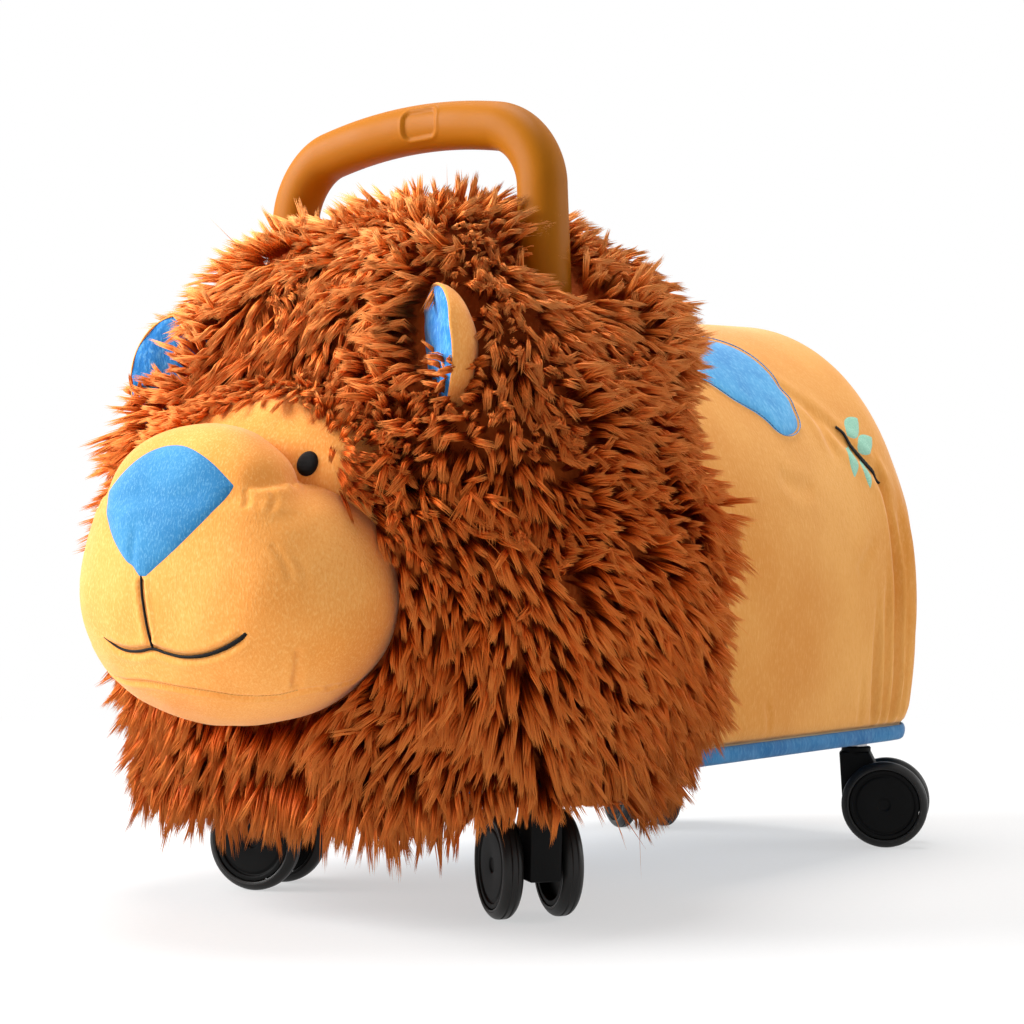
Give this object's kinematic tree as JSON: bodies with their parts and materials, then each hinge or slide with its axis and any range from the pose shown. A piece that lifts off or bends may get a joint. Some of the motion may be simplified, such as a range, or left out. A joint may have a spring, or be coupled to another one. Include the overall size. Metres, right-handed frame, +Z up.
{
  "type": "plush ride-on toy",
  "caption": "Stuffed lion ride-on toy: padded arched seat, fur mane round a soft face, U-shaped grab handle and a board on twin-wheel swivel casters.",
  "frame": {"origin": "on the floor, below the middle of the toy's bounding box", "axes": "-Y is the way the lion faces, +X is the lion's left side, +Z is up"},
  "size_m": [0.3058, 0.5291, 0.3926],
  "materials": {
    "yellow_plush": "short-pile velboa plush, brushed, warm yellow",
    "blue_plush": "short-pile velboa plush, brushed, mid blue",
    "fur": "long-pile tufted faux fur, rust orange with paler tips",
    "handle": "satin ochre-orange soft-touch moulding",
    "plywood": "sanded birch plywood",
    "foam": "cut upholstery foam",
    "black_thread": "satin-stitch embroidery",
    "black_nylon": "fine-textured black nylon moulding",
    "grey_tyre": "charcoal soft polyurethane tread",
    "steel": "bright zinc plate"
  },
  "bodies": {
    "lion_body": {"base_board": "plywood", "base_cover": "blue_plush", "body_cover": "yellow_plush", "body_foam": "foam", "mane": "fur", "face_panel": "yellow_plush", "muzzle": "yellow_plush", "nose": "blue_plush", "eye_left": "black_thread", "eye_right": "black_thread", "ear_front_left": "blue_plush", "ear_front_right": "blue_plush", "ear_back_left": "yellow_plush", "ear_back_right": "yellow_plush", "spot_patch": "blue_plush", "handle": "handle", "handle_bolt_1": "steel", "handle_nut_1": "steel", "handle_bolt_2": "steel", "handle_nut_2": "steel", "handle_bolt_3": "steel", "handle_nut_3": "steel", "handle_bolt_4": "steel", "handle_nut_4": "steel", "stem_front_left": "steel", "insert_front_left": "steel", "stem_front_right": "steel", "insert_front_right": "steel", "stem_rear_left": "steel", "insert_rear_left": "steel", "stem_rear_right": "steel", "insert_rear_right": "steel"},
    "caster_front_left": {"housing_front_left": "black_nylon", "axle_front_left": "steel"},
    "wheel_a_front_left": {"wheel_a_front_left": "black_nylon", "tyre_a_front_left": "grey_tyre"},
    "wheel_b_front_left": {"wheel_b_front_left": "black_nylon", "tyre_b_front_left": "grey_tyre"},
    "caster_front_right": {"housing_front_right": "black_nylon", "axle_front_right": "steel"},
    "wheel_a_front_right": {"wheel_a_front_right": "black_nylon", "tyre_a_front_right": "grey_tyre"},
    "wheel_b_front_right": {"wheel_b_front_right": "black_nylon", "tyre_b_front_right": "grey_tyre"},
    "caster_rear_left": {"housing_rear_left": "black_nylon", "axle_rear_left": "steel"},
    "wheel_a_rear_left": {"wheel_a_rear_left": "black_nylon", "tyre_a_rear_left": "grey_tyre"},
    "wheel_b_rear_left": {"wheel_b_rear_left": "black_nylon", "tyre_b_rear_left": "grey_tyre"},
    "caster_rear_right": {"housing_rear_right": "black_nylon", "axle_rear_right": "steel"},
    "wheel_a_rear_right": {"wheel_a_rear_right": "black_nylon", "tyre_a_rear_right": "grey_tyre"},
    "wheel_b_rear_right": {"wheel_b_rear_right": "black_nylon", "tyre_b_rear_right": "grey_tyre"}
  },
  "joints": [
    {"name": "swivel_front_left", "type": "hinge", "parent": "lion_body", "child": "caster_front_left", "pos_m": [0.0968, -0.1132, 0.03], "axis": [0, 0, 1], "continuous": true},
    {"name": "spin_a_front_left", "type": "hinge", "parent": "caster_front_left", "child": "wheel_a_front_left", "pos_m": [0.08254, -0.10358, 0.025], "axis": [0.5592, 0.829, 0], "continuous": true},
    {"name": "spin_b_front_left", "type": "hinge", "parent": "caster_front_left", "child": "wheel_b_front_left", "pos_m": [0.08254, -0.10358, 0.025], "axis": [0.5592, 0.829, 0], "continuous": true},
    {"name": "swivel_front_right", "type": "hinge", "parent": "lion_body", "child": "caster_front_right", "pos_m": [-0.0968, -0.1132, 0.03], "axis": [0, 0, 1], "continuous": true},
    {"name": "spin_a_front_right", "type": "hinge", "parent": "caster_front_right", "child": "wheel_a_front_right", "pos_m": [-0.08027, -0.10846, 0.025], "axis": [0.2756, -0.9613, 0], "continuous": true},
    {"name": "spin_b_front_right", "type": "hinge", "parent": "caster_front_right", "child": "wheel_b_front_right", "pos_m": [-0.08027, -0.10846, 0.025], "axis": [0.2756, -0.9613, 0], "continuous": true},
    {"name": "swivel_rear_left", "type": "hinge", "parent": "lion_body", "child": "caster_rear_left", "pos_m": [0.0804, 0.2225, 0.03], "axis": [0, 0, 1], "continuous": true},
    {"name": "spin_a_rear_left", "type": "hinge", "parent": "caster_rear_left", "child": "wheel_a_rear_left", "pos_m": [0.09611, 0.2295, 0.025], "axis": [0.4067, -0.9135, 0], "continuous": true},
    {"name": "spin_b_rear_left", "type": "hinge", "parent": "caster_rear_left", "child": "wheel_b_rear_left", "pos_m": [0.09611, 0.2295, 0.025], "axis": [0.4067, -0.9135, 0], "continuous": true},
    {"name": "swivel_rear_right", "type": "hinge", "parent": "lion_body", "child": "caster_rear_right", "pos_m": [-0.0804, 0.2225, 0.03], "axis": [0, 0, 1], "continuous": true},
    {"name": "spin_a_rear_right", "type": "hinge", "parent": "caster_rear_right", "child": "wheel_a_rear_right", "pos_m": [-0.06648, 0.21239, 0.025], "axis": [-0.5878, -0.809, 0], "continuous": true},
    {"name": "spin_b_rear_right", "type": "hinge", "parent": "caster_rear_right", "child": "wheel_b_rear_right", "pos_m": [-0.06648, 0.21239, 0.025], "axis": [-0.5878, -0.809, 0], "continuous": true}
  ]
}
